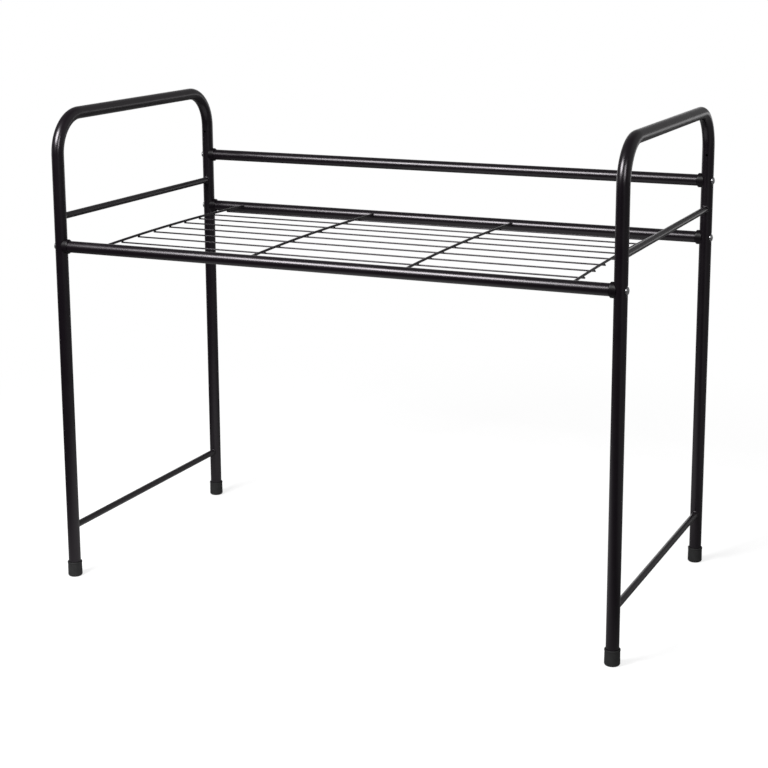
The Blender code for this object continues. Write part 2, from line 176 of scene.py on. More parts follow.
# Each finish: its darkest and palest tone, its range of roughness and its gloss
TUBE_COAT = ((0.0024, 0.0008, 0.0025), (0.0033, 0.0013, 0.0034), (0.27, 0.31), 0.75)
WIRE_COAT = ((0.0042, 0.0026, 0.0043), (0.0062, 0.0042, 0.0063), (0.28, 0.34), 0.6)
CAP_PLASTIC = ((0.0024, 0.0010, 0.0025), (0.0034, 0.0016, 0.0035), (0.36, 0.42), 0.3)
FOOT_RUBBER = ((0.016, 0.016, 0.0163), (0.021, 0.021, 0.0213), (0.50, 0.62), 0.5)
STEEL_DARK = (0.40, 0.40, 0.41)
STEEL_PALE = (0.56, 0.56, 0.57)
STEEL_ROUGHNESS = (0.28, 0.42)

# The faint violet of the black coat's gloss
COAT_TINT = (1, 0.95, 1, 1)

# Texture: each noise has the width of its lumps and its detail, each bump its depth and strength
NOISE_SPREAD = (0.35, 0.65)
COAT_CLOUD = (0.035, 3.0)
COAT_GRAIN = (0.00035, 2.0)
COAT_GRAIN_BUMP = (0.000001, 0.2)
COAT_PEEL = (0.0035, 1.0)
COAT_PEEL_BUMP = (0.00001, 0.25)
MOULDED_CLOUD = (0.006, 3.0)
CAP_GRAIN = (0.0004, 3.0)
CAP_GRAIN_BUMP = (0.000001, 0.4)
FOOT_GRAIN = (0.0003, 3.0)
FOOT_GRAIN_BUMP = (0.00001, 0.4)
STEEL_CLOUD = (0.002, 3.0)
STEEL_RINGS = {"Scale": 2500, "Distortion": 1.5, "Detail": 2.0}
STEEL_RING_BUMP = (0.00001, 0.2)

# Stage: a pale floor, lit like the object near it and plain white to the camera further off
FLOOR_RADIUS = 40
FLOOR_CORE_RADIUS = 1
FLOOR_SIDES = 96
FLOOR_PALE = (0.84, 0.84, 0.84)
FLOOR_LIFT = 0.44
FLOOR_LIT_REACH = (0.55, 1.30)
FLOOR_LIT_SHARE = 0.55
# The floor as the coat mirrors it, in painted light and shade: pale round the object as a painted
# pool of light, dim in front as painted shade, and lighter behind and to the right as painted
# light
FLOOR_PAINTED_POOL_CENTRE = (-0.08, 0, 0)
FLOOR_PAINTED_POOL_REACH = (0.15, 0.80)
FLOOR_PAINTED_POOL_PALE = 0.45
FLOOR_PAINTED_SHADE_DIM = 0.05
FLOOR_PAINTED_BEHIND_REACH = (0.30, 1.20)
FLOOR_PAINTED_BEHIND_LIGHT = 0.30
FLOOR_BACKDROP_REACH = (2.2, 3.2)
FLOOR_PAINTED_RIGHT_REACH = (0.28, 0.78)
FLOOR_PAINTED_RIGHT_LIGHT = 0.28

# Light: two soft lamps and an even dome. Mirrored rays meet a dim surround, with white behind
WHITE = 1.0
DOME_STRENGTH = 0.36
BACKDROP_REACH = (-0.985, -0.93)
SURROUND_BEHIND = 0.24
SURROUND_BESIDE = 0.13
SURROUND_RIGHT = 0.30
SURROUND_RIGHT_REACH = (0.35, 0.85)
SURROUND_FRONT = 0.016
SURROUND_BEHIND_REACH = (-0.95, -0.30)
SURROUND_FRONT_REACH = (0.30, 0.75)
# Each lamp: its place, what it faces, its width and height, and its power
SOFTBOXES = {
    "front_left_softbox": ((-0.62, -1.29, 1.49), (-0.45, 0, 0.43), (0.80, 0.67), 34),
    "front_right_softbox": ((1.50, -2.10, 1.62), (0.37, -0.19, 0.52), (0.60, 1.15), 20),
}


def middle(node):
    low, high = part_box(node)
    return (low + high) / 2


def leg_axis(end_name, side_name):
    """Where a leg's axis meets the floor."""
    centre = middle(f"{end_name}_{side_name}_foot_cap")
    return Vector((centre.x, centre.y, 0))


def end_of(rail):
    """Whether a rail joins the front legs or the rear ones."""
    return "front" if middle(rail).y < 0 else "rear"


def rail_end_place(rail, side_name):
    """A rail end's place: on its leg's axis, with +X into the rail."""
    leg = leg_axis(end_of(rail), side_name)
    facing = Matrix.Rotation(math.pi if SIDES[side_name] > 0 else 0, 4, "Z")
    return Matrix.Translation((leg.x, leg.y, middle(rail).z)) @ facing


def add_object(name, data):
    made = bpy.data.objects.new(name, data)
    bpy.context.scene.collection.objects.link(made)
    return made


def modified_mesh(guide):
    """The guide's mesh as its modifiers leave it."""
    bpy.context.view_layer.update()
    graph = bpy.context.evaluated_depsgraph_get()
    return bpy.data.meshes.new_from_object(guide.evaluated_get(graph))


def shaded(mesh):
    mesh.shade_smooth()
    mesh.set_sharp_from_angle(angle=SHARP_ANGLE)
    return mesh


def ring(centre, across, up, half_width, half_height, sides):
    """A closed oval of points about a centre."""
    angles = [math.tau * step / sides for step in range(sides)]
    return [
        centre + across * (half_width * math.cos(a)) + up * (half_height * math.sin(a))
        for a in angles
    ]


def skin(name, rings, first_tip=None, last_tip=None, looped=False):
    """A skin over rings of equally many points. Tips close its ends, and looped joins them."""
    shape = bmesh.new()
    loops = [[shape.verts.new(point) for point in points] for points in rings]
    pairs = list(zip(loops, loops[1:]))
    if looped:
        pairs.append((loops[-1], loops[0]))
    for near, far in pairs:
        for step in range(len(near)):
            after = (step + 1) % len(near)
            shape.faces.new((near[step], near[after], far[after], far[step]))
    for tip, loop in ((first_tip, loops[0]), (last_tip, loops[-1])):
        if tip is not None:
            end = shape.verts.new(tip)
            for step in range(len(loop)):
                shape.faces.new((loop[step], loop[(step + 1) % len(loop)], end))
    if looped or (first_tip is not None and last_tip is not None):
        bmesh.ops.recalc_face_normals(shape, faces=shape.faces)
    mesh = bpy.data.meshes.new(name)
    shape.to_mesh(mesh)
    shape.free()
    return shaded(mesh)


def turned(name, outline, sides):
    """A solid turned about Z from an outline of (radius, height), from the axis to the axis."""
    rings = [ring(Z * height, X, Y, radius, radius, sides) for radius, height in outline[1:-1]]
    return skin(name, rings, Z * outline[0][1], Z * outline[-1][1])


def rounded_step(centre_radius, centre_height, reach, first_angle, last_angle, steps):
    """Outline points along an arc, by angles from the outward direction towards up."""
    points = []
    for step in range(steps + 1):
        angle = math.radians(first_angle + (last_angle - first_angle) * step / steps)
        radius = centre_radius + reach * math.cos(angle)
        points.append((radius, centre_height + reach * math.sin(angle)))
    return points


def shaped(name, mesh, cutters, edge=0.0):
    """The mesh less the cutters' shapes, with its corners broken where an edge is given."""
    guide = add_object(name, mesh)
    helpers = []
    for number, cutter in enumerate(cutters):
        helpers.append(add_object(f"{name}_cutter_{number}", cutter))
        cut = guide.modifiers.new(f"cut_{number}", "BOOLEAN")
        cut.operation = "DIFFERENCE"
        cut.solver = "EXACT"
        cut.object = helpers[-1]
        weld = guide.modifiers.new(f"weld_{number}", "WELD")
        weld.merge_threshold = WELD_DISTANCE
    if edge:
        bevel = guide.modifiers.new("edge", "BEVEL")
        bevel.width = edge
        bevel.segments = EDGE_SEGMENTS
        bevel.limit_method = "ANGLE"
        bevel.angle_limit = SHARP_ANGLE
        bevel.use_clamp_overlap = True
    result = modified_mesh(guide)
    result.name = name
    for leftover in [guide, *helpers]:
        bpy.data.objects.remove(leftover)
    return shaded(result)


def add_piece(name, mesh, material, node=None, place=None):
    """A piece of the object, riding on its only body. It stands for the node that is named."""
    if not mesh.materials:
        mesh.materials.append(material)
    piece = add_object(name, mesh)
    piece.matrix_world = place or Matrix()
    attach(piece, "root")
    if node:
        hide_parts(node)
    return piece


def spaced(start, end, steps):
    return [start + (end - start) * step / steps for step in range(steps + 1)]


def softer_minimum(first, second, softness):
    """The lower of two values, with the corner where they cross rounded off."""
    share = min(1, max(0, 0.5 + 0.5 * (second - first) / softness))
    return second + (first - second) * share - softness * share * (1 - share)


def pressed(point, leg, side, seat_heights):
    """A point of the leg's skin, moved in to a screw seat's flat or flank where that is deeper."""
    outward = (point.x - leg.x) * side
    if outward <= 0:
        return point
    for height in seat_heights:
        reach = math.hypot(point.y - leg.y, point.z - height)
        flank = SEAT_PLANE + max(0, reach - SEAT_RADIUS) / SEAT_DRAFT_SHARE
        outward = min(outward, softer_minimum(outward, flank, SEAT_SOFTNESS))
    return Vector((leg.x + side * outward, point.y, point.z))


def leg_heights(bottom, top, seat_heights, drain_height=None):
    """Ring heights up a leg, close together at each screw seat and at the drain hole."""
    heights = [bottom, top]
    for height in seat_heights:
        heights += spaced(height - SEAT_REACH, height + SEAT_REACH, SEAT_STEPS)
    if drain_height:
        heights += spaced(drain_height - DRAIN_REACH, drain_height + DRAIN_REACH, DRAIN_STEPS)
    return sorted(heights)


def side_tube(side_name):
    """One bent tube's rings, up the front leg, over two bends and down the rear leg.

    With them come the legs' axes, the heights of their pressed seats and the drain hole's height.
    """
    name = f"{side_name}_side_tube"
    side = SIDES[side_name]
    low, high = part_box(name)
    legs = {end_name: leg_axis(end_name, side_name) for end_name in ENDS}
    bend_z = high.z - POST_RADIUS - BEND_RADIUS
    drain_height = bend_z - DRAIN_DROP
    seats = {end_name: [] for end_name in ENDS}
    for rail in RAILS:
        seats[end_of(rail)].append(middle(rail).z)

    stations = []
    for height in leg_heights(low.z, bend_z, seats["front"]):
        stations.append((legs["front"] + Z * height, -Y, "front"))
    for end_name, start in (("front", 0), ("rear", 90)):
        end = ENDS[end_name]
        centre = legs[end_name] + Vector((0, -end * BEND_RADIUS, bend_z))
        for step in range(BEND_STEPS + 1):
            angle = math.radians(start + 90 * step / BEND_STEPS)
            outward = -Y * math.cos(angle) + Z * math.sin(angle)
            stations.append((centre + outward * BEND_RADIUS, outward, None))
    for height in reversed(leg_heights(low.z, bend_z, seats["rear"], drain_height)):
        stations.append((legs["rear"] + Z * height, Y, "rear"))

    rings = []
    for centre, outward, end_name in stations:
        points = ring(centre, outward, X, POST_RADIUS, POST_RADIUS, TUBE_SIDES)
        if end_name:
            points = [pressed(point, legs[end_name], side, seats[end_name]) for point in points]
        rings.append(points)
    return rings, legs, seats, drain_height


def without_repeats(rings):
    """The rings, leaving out each that lies on the one before it."""
    kept = [rings[0]]
    for points in rings[1:]:
        if (points[0] - kept[-1][0]).length > WELD_DISTANCE:
            kept.append(points)
    return kept


def bore(name, start, end, radius, sides):
    """A round cutter from one point to another."""
    along = (end - start).normalized()
    across = along.orthogonal().normalized()
    up = along.cross(across)
    rings = [ring(place, across, up, radius, radius, sides) for place in (start, end)]
    return skin(name, rings, start, end)


def build_side_tubes(material):
    for side_name, side in SIDES.items():
        name = f"{side_name}_side_tube"
        rings, legs, seats, drain_height = side_tube(side_name)
        open_skin = skin(name, without_repeats(rings))

        guide = add_object(name, open_skin)
        wall = guide.modifiers.new("wall", "SOLIDIFY")
        wall.thickness = POST_WALL
        wall.offset = -1
        walled = modified_mesh(guide)
        bpy.data.objects.remove(guide)

        cutters = []
        through = X * side * (POST_RADIUS + OVERRUN)
        hole = SHANK_RADIUS + FIT_GAP
        for end_name in ENDS:
            for height in seats[end_name]:
                centre = legs[end_name] + Z * height
                ends = (centre - through, centre + through)
                cutters.append(bore(f"{name}_hole", *ends, hole, SCREW_SIDES))
        rear = legs["rear"] + Z * drain_height
        outside = rear - Y * (POST_RADIUS + OVERRUN)
        cutters.append(bore(f"{name}_drain", rear, outside, DRAIN_RADIUS, SCREW_SIDES))
        add_piece(f"{name}_skin", shaped(name, walled, cutters), material, name)


def arch_height(y, half, arch):
    """The height of a bar's axis at a place along it: its rise, and its crown over the middle."""
    rise, crown = arch
    return rise + crown * (1 - (y / half) ** 2)


def seated(outward, radius, half, end, seat, arch):
    """Where a bar's skin, in one direction from its axis, meets the round seat at its end."""
    seat_radius, offset_axis = seat
    y = end * half
    for _ in range(SEATING_TRIES):
        point = Z * arch_height(y, half, arch) + outward * radius
        y = end * (half - math.sqrt(seat_radius ** 2 - point.dot(offset_axis) ** 2))
    return Vector((point.x, y, point.z))


def coped_bar(name, radius, half, seat, sides, arch=(0, 0), steps=1):
    """A bar along Y, hollowed at both ends to sit on round bars at y = half and -half."""
    directions = [Z * math.cos(a) + X * math.sin(a) for a in spaced(0, math.tau, sides)[:-1]]
    near, far = (
        [seated(outward, radius, half, end, seat, arch) for outward in directions]
        for end in (-1, 1)
    )
    rings = [near]
    for step in range(1, steps):
        y = near[0].y + (far[0].y - near[0].y) * step / steps
        centre = Vector((0, y, arch_height(y, half, arch)))
        rings.append([centre + outward * radius for outward in directions])
    rings.append(far)
    tips = [seated(Z, 0, half, end, seat, arch) for end in (-1, 1)]
    return skin(name, rings, *tips)


def weld_bead(name, radius, half, end, seat, bead, arch=(0, 0)):
    """A rippled bead of weld round one hollowed end of such a bar."""
    rings = []
    for angle in spaced(0, math.tau, BEAD_STEPS)[:-1]:
        outward = Z * math.cos(angle) + X * math.sin(angle)
        centre = seated(outward, radius, half, end, seat, arch)
        size = bead * (1 + BEAD_RIPPLE_SHARE * math.sin(BEAD_RIPPLES * angle))
        rings.append(ring(centre, outward, Y, size, size, BEAD_SIDES))
    return skin(name, rings, looped=True)


def build_side_rods(material):
    for side_name in SIDES:
        front = leg_axis("front", side_name)
        rear = leg_axis("rear", side_name)
        half = (rear.y - front.y) / 2
        for level in LEVELS:
            node = f"{side_name}_{level}_side_rod"
            place = Matrix.Translation(middle(node))
            rod = coped_bar(f"{node}_bar", ROD_RADIUS, half, (POST_RADIUS + FIT_GAP, X), ROD_SIDES)
            add_piece(f"{node}_bar", rod, material, node, place)
            for end_name, end in ENDS.items():
                name = f"{node}_{end_name}_weld"
                bead = weld_bead(name, ROD_RADIUS, half, end, (POST_RADIUS, X), ROD_BEAD)
                add_piece(name, bead, material, place=place)


def build_rails(material):
    for node in RAILS:
        low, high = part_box(node)
        half = (high.x - low.x) / 2
        inner = RAIL_RADIUS - RAIL_WALL
        outline = [
            (-half, inner + RAIL_EDGE),
            (-half, RAIL_RADIUS - RAIL_EDGE),
            (-half + RAIL_EDGE, RAIL_RADIUS),
            (half - RAIL_EDGE, RAIL_RADIUS),
            (half, RAIL_RADIUS - RAIL_EDGE),
            (half, inner + RAIL_EDGE),
            (half - RAIL_EDGE, inner),
            (-half + RAIL_EDGE, inner),
        ]
        rings = [ring(X * along, Y, Z, radius, radius, RAIL_SIDES) for along, radius in outline]
        tube = skin(f"{node}_tube", rings, looped=True)
        place = Matrix.Translation(middle(node))
        add_piece(f"{node}_tube", tube, material, node, place)


def swell_at(share):
    """The collar's share of its full flare at a share of its length, eased between the rings."""
    for (start, first), (end, last) in zip(COLLAR_SWELL_SHARES, COLLAR_SWELL_SHARES[1:]):
        if share <= end:
            part = (share - start) / (end - start)
            part = part * part * (3 - 2 * part)
            return first + (last - first) * part
    return COLLAR_SWELL_SHARES[-1][1]


def end_cap_mesh():
    """A cap with +X into the rail: a flared collar whose saddle holds the leg, and a plug."""
    rings = []
    for share in spaced(0, 1, COLLAR_RINGS):
        swell = swell_at(share)
        distance = LIP_START + share * (COLLAR_FACE - LIP_START)
        half_width = COLLAR_FACE_RIM + swell * (COLLAR_HALF_WIDTH - COLLAR_FACE_RIM)
        half_height = COLLAR_FACE_RIM + swell * (COLLAR_HALF_HEIGHT - COLLAR_FACE_RIM)
        rings.append(ring(X * distance, Y, Z, half_width, half_height, COLLAR_SIDES))
    tip = PLUG_RADIUS - PLUG_CHAMFER
    for distance, radius in (
        (COLLAR_FACE, PLUG_RADIUS),
        (PLUG_END - PLUG_CHAMFER, PLUG_RADIUS),
        (PLUG_END, tip),
    ):
        rings.append(ring(X * distance, Y, Z, radius, radius, COLLAR_SIDES))
    blank = skin("end_cap", rings, X * LIP_START, X * PLUG_END)

    reach = COLLAR_HALF_HEIGHT + OVERRUN
    far = X * (PLUG_END + OVERRUN)
    pocket_start = X * (PLUG_END - NUT_THICKNESS - FIT_GAP)
    cutters = [
        bore("cap_saddle", -Z * reach, Z * reach, POST_RADIUS + FIT_GAP, COLLAR_SIDES),
        bore("cap_bore", Vector((0, 0, 0)), far, SHANK_RADIUS + FIT_GAP, SCREW_SIDES),
        bore("nut_pocket", pocket_start, far, NUT_POCKET_RADIUS, NUT_SIDES),
    ]
    return shaped("end_cap", blank, cutters, COLLAR_EDGE)


def build_end_caps(material):
    cap = end_cap_mesh()
    for rail, side_name in RAIL_ENDS:
        node = f"{rail}_{side_name}_end_cap"
        place = rail_end_place(rail, side_name)
        add_piece(f"{node}_moulding", cap, material, node, place)


def recess_blade(name, across, along, top):
    """One of the two tapered blades that cut the crossed recess."""
    rings = []
    sunk = top - RECESS_DEPTH
    for height, share in ((sunk, RECESS_TAPER_SHARE), (top + OVERRUN, RECESS_TOP_SHARE)):
        half_span = RECESS_SPAN / 2 * share
        half_blade = RECESS_BLADE / 2 * share
        rings.append([
            Z * height + across * (sign_a * half_span) + along * (sign_b * half_blade)
            for sign_a, sign_b in ((-1, -1), (1, -1), (1, 1), (-1, 1))
        ])
    return skin(name, rings, Z * sunk, Z * (top + OVERRUN))


def screw_mesh():
    """A screw about Z with its head up, its leg's axis at the origin and its tip below."""
    under = SEAT_PLANE + FIT_GAP
    edge = under + HEAD_EDGE_SHARE * HEAD_HEIGHT
    dome = under + HEAD_HEIGHT - edge
    outline = [(0, under + HEAD_HEIGHT)]
    for step in range(1, HEAD_DOME_STEPS + 1):
        angle = math.pi / 2 * step / HEAD_DOME_STEPS
        outline.append((HEAD_RADIUS * math.sin(angle), edge + dome * math.cos(angle)))
    tip = -(PLUG_END + SCREW_TIP_REACH)
    outline += [
        (HEAD_RADIUS, under + HEAD_BREAK),
        (HEAD_RADIUS - HEAD_BREAK, under),
        (SHANK_RADIUS, under),
        (SHANK_RADIUS, tip + SCREW_TIP_CHAMFER),
        (SHANK_RADIUS - SCREW_TIP_CHAMFER, tip),
        (0, tip),
    ]
    blank = turned("rail_screw", outline, SCREW_SIDES)
    top = under + HEAD_HEIGHT
    blades = [recess_blade("recess_across", X, Y, top), recess_blade("recess_along", Y, -X, top)]
    return shaped("rail_screw", blank, blades, HEAD_BREAK / 2)


def build_screws(material):
    screw = screw_mesh()
    out_of_leg = Z.rotation_difference(-X).to_matrix().to_4x4()
    for rail, side_name in RAIL_ENDS:
        node = f"{rail}_{side_name}_screw"
        place = rail_end_place(rail, side_name) @ out_of_leg
        add_piece(f"{node}_steel", screw, material, node, place)


def foot_mesh():
    """A rubber foot about Z: an open socket, a soft lip and a ring groove in the sole."""
    lip = FOOT_OUTER + FOOT_LIP
    half_lip, half_steps = FOOT_LIP / 2, FOOT_HALF_LIP_STEPS
    lip_top, lip_bottom = FOOT_HEIGHT - half_lip, FOOT_HEIGHT - FOOT_LIP_HEIGHT
    outline = [(0, FOOT_FLOOR), (FOOT_SOCKET, FOOT_FLOOR), (FOOT_SOCKET, lip_top)]
    outline += rounded_step(FOOT_SOCKET + half_lip, lip_top, half_lip, 180, 90, half_steps)[1:]
    outline += rounded_step(
        lip - FOOT_LIP, FOOT_HEIGHT - FOOT_LIP, FOOT_LIP, 90, 0, FOOT_LIP_STEPS
    )
    outline += rounded_step(
        lip - half_lip, lip_bottom, half_lip, 0, FOOT_LIP_LAST_ANGLE, half_steps
    )
    outline.append((FOOT_OUTER, lip_bottom - FOOT_LIP))
    sole = FOOT_OUTER + FOOT_SWELL - FOOT_ROUND
    outline += rounded_step(sole, FOOT_ROUND, FOOT_ROUND, 0, -90, FOOT_ROUND_STEPS)
    groove_inner, groove_outer = (share * sole for share in FOOT_GROOVE_SHARES)
    outline += [
        (groove_outer, 0),
        (groove_outer, FOOT_GROOVE_DEPTH),
        (groove_inner, FOOT_GROOVE_DEPTH),
        (groove_inner, 0),
        (0, 0),
    ]
    return turned("foot", outline, FOOT_SIDES)


def build_feet(material):
    foot = foot_mesh()
    for side_name in SIDES:
        for end_name in ENDS:
            node = f"{end_name}_{side_name}_foot_cap"
            place = Matrix.Translation(leg_axis(end_name, side_name))
            add_piece(f"{node}_rubber", foot, material, node, place)


def nub_mesh(name, centres):
    """Flattened, slightly lumpy spots of weld at the given places."""
    spots = bmesh.new()
    for centre in centres:
        rings = []
        for step in range(1, NUB_RINGS):
            angle = math.pi * step / NUB_RINGS
            radius = NUB_REACH * math.sin(angle)
            height = -NUB_HALF_HEIGHT * math.cos(angle)
            rings.append(ring(centre + Z * height, X, Y, radius, radius, NUB_SIDES))
        for points in rings:
            for point in points:
                lump = noise.noise(point * NUB_LUMP_SCALE)
                point += (point - centre).normalized() * (NUB_ROUGHNESS * lump)
        tips = [centre - Z * NUB_HALF_HEIGHT, centre + Z * NUB_HALF_HEIGHT]
        spot = skin(name, rings, *tips)
        spots.from_mesh(spot)
        bpy.data.meshes.remove(spot)
    mesh = bpy.data.meshes.new(name)
    spots.to_mesh(mesh)
    spots.free()
    return shaded(mesh)


def build_deck(material):
    front = middle("front_shelf_rail")
    half = (middle("rear_shelf_rail").y - front.y) / 2
    arch = (CROSS_WIRE_RISE, DECK_CROWN)
    seat = (RAIL_RADIUS + FIT_GAP, Z)
    wires = [middle(f"deck_long_wire_{number}") for number in range(1, LONG_WIRES + 1)]
    for number in range(1, CROSS_WIRES + 1):
        node = f"deck_cross_wire_{number}"
        x = middle(node).x
        place = Matrix.Translation((x, 0, front.z))
        name = f"{node}_bar"
        cross = coped_bar(name, CROSS_WIRE_RADIUS, half, seat, WIRE_SIDES, arch, CROSS_WIRE_RINGS)
        add_piece(name, cross, material, node, place)
        for end_name, end in ENDS.items():
            name = f"{node}_{end_name}_weld"
            bead = weld_bead(name, CROSS_WIRE_RADIUS, half, end, (RAIL_RADIUS, Z), WIRE_BEAD, arch)
            add_piece(name, bead, material, place=place)
        centres = []
        for wire in wires:
            under = front.z + arch_height(wire.y, half, arch) - CROSS_WIRE_RADIUS
            centres.append(Vector((x, wire.y, (under + wire.z + LONG_WIRE_RADIUS) / 2)))
        add_piece(f"{node}_spots", nub_mesh(f"{node}_spots", centres), material)

    for number, centre in enumerate(wires, start=1):
        node = f"deck_long_wire_{number}"
        low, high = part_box(node)
        reach = (high.x - low.x) / 2
        small = LONG_WIRE_RADIUS - WIRE_END_ROUND
        rings = [
            ring(X * along, Y, Z, radius, radius, WIRE_SIDES)
            for along, radius in (
                (-reach, small),
                (-reach + WIRE_END_ROUND, LONG_WIRE_RADIUS),
                (reach - WIRE_END_ROUND, LONG_WIRE_RADIUS),
                (reach, small),
            )
        ]
        wire = skin(f"{node}_bar", rings, X * -reach, X * reach)
        add_piece(f"{node}_bar", wire, material, node, Matrix.Translation(centre))


def set_inputs(tree, node, inputs):
    """Give each input its value, or link it from its socket."""
    for socket, value in inputs.items():
        if isinstance(value, bpy.types.NodeSocket):
            tree.links.new(value, node.inputs[socket])
        else:
            node.inputs[socket].default_value = value


def add_node(tree, kind, inputs, **settings):
    """A shader node with its settings and inputs."""
    made = tree.nodes.new(kind)
    for setting, value in settings.items():
        setattr(made, setting, value)
    set_inputs(tree, made, inputs)
    return made


def new_material(name):
    material = bpy.data.materials.new(name)
    material.use_nodes = True
    return material, material.node_tree, material.node_tree.nodes["Principled BSDF"]


def own_place(tree):
    return add_node(tree, "ShaderNodeTexCoord", {}).outputs["Object"]


def noise_texture(tree, place, size, detail):
    """A noise value whose lumps are about as large as the given size in metres."""
    made = add_node(
        tree, "ShaderNodeTexNoise", {"Vector": place, "Scale": 1 / size, "Detail": detail}
    )
    return made.outputs["Fac"]


def between(tree, value, low, high):
    """A noise value spread over a range."""
    made = add_node(tree, "ShaderNodeMapRange", {
        "Value": value,
        "From Min": NOISE_SPREAD[0],
        "From Max": NOISE_SPREAD[1],
        "To Min": low,
        "To Max": high,
    })
    return made.outputs["Result"]


def blend_colour(tree, share, first, second):
    """A colour between two. The Mix node's colour sockets go by number."""
    inputs = {0: share, 6: (*first, 1), 7: (*second, 1)}
    return add_node(tree, "ShaderNodeMix", inputs, data_type="RGBA").outputs[2]


def blend_value(tree, share, first, second):
    """A value between two. The Mix node's value sockets go by number."""
    return add_node(tree, "ShaderNodeMix", {0: share, 2: first, 3: second}).outputs[0]


def bump(tree, height, depth, strength, normal=None):
    inputs = {"Height": height, "Distance": depth, "Strength": strength}
    if normal:
        inputs["Normal"] = normal
    return add_node(tree, "ShaderNodeBump", inputs).outputs["Normal"]


def coating(name, dark, pale, roughness, gloss):
    """Sprayed and baked coat: shallow orange peel, fine grain and a little unevenness in gloss."""
    material, tree, shader = new_material(name)
    place = own_place(tree)
    cloud = noise_texture(tree, place, *COAT_CLOUD)
    grain = noise_texture(tree, place, *COAT_GRAIN)
    peel = noise_texture(tree, place, *COAT_PEEL)
    set_inputs(tree, shader, {
        "Base Color": blend_colour(tree, between(tree, grain, 0, 1), dark, pale),
        "Roughness": between(tree, cloud, *roughness),
        "Normal": bump(tree, grain, *COAT_GRAIN_BUMP, bump(tree, peel, *COAT_PEEL_BUMP)),
        "Specular IOR Level": gloss,
        "Specular Tint": COAT_TINT,
    })
    return material


def moulded(name, dark, pale, roughness, gloss, grain_noise, grain_bump):
    """Moulded plastic or rubber with a fine even grain."""
    material, tree, shader = new_material(name)
    place = own_place(tree)
    cloud = noise_texture(tree, place, *MOULDED_CLOUD)
    grain = noise_texture(tree, place, *grain_noise)
    set_inputs(tree, shader, {
        "Base Color": blend_colour(tree, between(tree, cloud, 0, 1), dark, pale),
        "Roughness": between(tree, grain, *roughness),
        "Normal": bump(tree, grain, *grain_bump),
        "Specular IOR Level": gloss,
    })
    return material


def plated_steel(name):
    """Bright plated steel with fine turned rings about the piece's own Z axis."""
    material, tree, shader = new_material(name)
    place = own_place(tree)
    inputs = {"Vector": place, **STEEL_RINGS}
    wave = add_node(tree, "ShaderNodeTexWave", inputs, wave_type="RINGS", rings_direction="Z")
    cloud = noise_texture(tree, place, *STEEL_CLOUD)
    set_inputs(tree, shader, {
        "Base Color": blend_colour(tree, between(tree, cloud, 0, 1), STEEL_DARK, STEEL_PALE),
        "Roughness": between(tree, cloud, *STEEL_ROUGHNESS),
        "Normal": bump(tree, wave.outputs["Fac"], *STEEL_RING_BUMP),
        "Metallic": 1.0,
    })
    return material


def build_camera():
    data = bpy.data.cameras.new("photo_camera")
    data.sensor_width = CAMERA_SENSOR_MM
    data.lens = CAMERA_LENS_MM
    data.shift_y = CAMERA_SHIFT_UP
    data.clip_end = CAMERA_FAR
    camera = add_object("photo_camera", data)
    turn = Matrix.Rotation(CAMERA_TURN, 4, "Z")
    tilt = Matrix.Rotation(math.pi / 2 - CAMERA_TILT, 4, "X")
    roll = Matrix.Rotation(CAMERA_ROLL, 4, "Z")
    camera.matrix_world = Matrix.Translation(CAMERA_PLACE) @ turn @ tilt @ roll
    bpy.context.scene.camera = camera


def build_floor():
    """A round floor: a core, and a wide ring of faces round it."""
    origin = Vector((0, 0, 0))
    shape = bmesh.new()
    core, rim = (
        [shape.verts.new(point) for point in ring(origin, X, Y, radius, radius, FLOOR_SIDES)]
        for radius in (FLOOR_CORE_RADIUS, FLOOR_RADIUS)
    )
    shape.faces.new(core)
    for step in range(FLOOR_SIDES):
        after = (step + 1) % FLOOR_SIDES
        shape.faces.new((core[step], rim[step], rim[after], core[after]))
    mesh = bpy.data.meshes.new("floor")
    shape.to_mesh(mesh)
    shape.free()
    mesh.materials.append(floor_material())
    floor = add_object("floor", mesh)


def to_camera():
    """The level direction from the object's middle towards the camera."""
    return Vector((math.sin(CAMERA_TURN), -math.cos(CAMERA_TURN), 0))


def to_right():
    """The level direction to the right in the picture."""
    return Z.cross(to_camera())


def falling(tree, distance, reach, near, far):
    """A value that eases from one end of a reach to the other."""
    made = add_node(tree, "ShaderNodeMapRange", {
        "Value": distance,
        "From Min": reach[0],
        "From Max": reach[1],
        "To Min": near,
        "To Max": far,
    }, interpolation_type="SMOOTHSTEP")
    return made.outputs["Result"]


def larger(tree, first, second):
    return add_node(tree, "ShaderNodeMath", {0: first, 1: second}, operation="MAXIMUM").outputs[0]


def component(tree, place, direction):
    """How far a place or a ray goes in a direction."""
    inputs = {0: place, 1: direction}
    return add_node(tree, "ShaderNodeVectorMath", inputs, operation="DOT_PRODUCT").outputs["Value"]


def separation(tree, place, centre):
    """How far a place lies from a centre."""
    inputs = {0: place, 1: centre}
    return add_node(tree, "ShaderNodeVectorMath", inputs, operation="DISTANCE").outputs["Value"]


def ray_kinds(tree):
    """Whether a ray comes from the camera or through glass, and whether it is mirrored."""
    path = add_node(tree, "ShaderNodeLightPath", {})
    direct = larger(tree, path.outputs["Is Camera Ray"], path.outputs["Is Transmission Ray"])
    return direct, path.outputs["Is Glossy Ray"]


